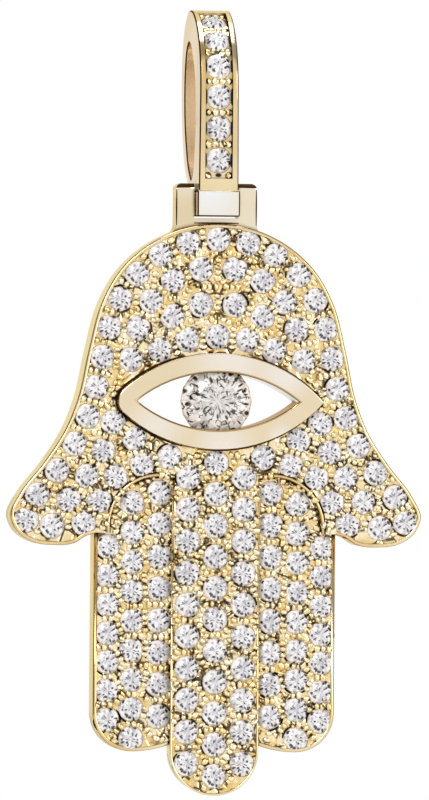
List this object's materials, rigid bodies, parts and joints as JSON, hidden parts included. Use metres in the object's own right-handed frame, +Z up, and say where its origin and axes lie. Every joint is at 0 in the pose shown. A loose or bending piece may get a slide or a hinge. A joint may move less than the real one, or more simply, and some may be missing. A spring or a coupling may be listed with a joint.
{
  "type": "hamsa pendant",
  "caption": "Hand-shaped pendant with a pave-set face, an open almond eye holding a round stone, and a stone-set bail hinged at the top.",
  "frame": {"origin": "inner top of the bail's loop, where the chain rests, in the middle of the bail's width", "axes": "+Z up from the fingertips to the bail, -Y out of the pendant's face, X across the hand"},
  "size_m": [0.0216, 0.0076, 0.0408],
  "materials": {
    "yellow_gold": "polished yellow gold, bright-cut between the stones",
    "polished_gold": "mirror-polished yellow gold",
    "pave_diamond": "round brilliant cut",
    "centre_diamond": "round brilliant cut, faintly warm"
  },
  "bodies": {
    "bail_body": {"bail": "yellow_gold", "bail_stones": "pave_diamond"},
    "hand_body": {"hand_plate": "yellow_gold", "hinge_pin": "polished_gold", "eye_frame": "polished_gold", "eye_stone": "centre_diamond", "palm_stones": "pave_diamond", "finger_stones": "pave_diamond"}
  },
  "joints": [
    {"name": "hand_swing", "type": "hinge", "parent": "bail_body", "child": "hand_body", "pos_m": [0, -0.00319, -0.00847], "axis": [1, 0, 0], "range_deg": [-15, 45]}
  ]
}
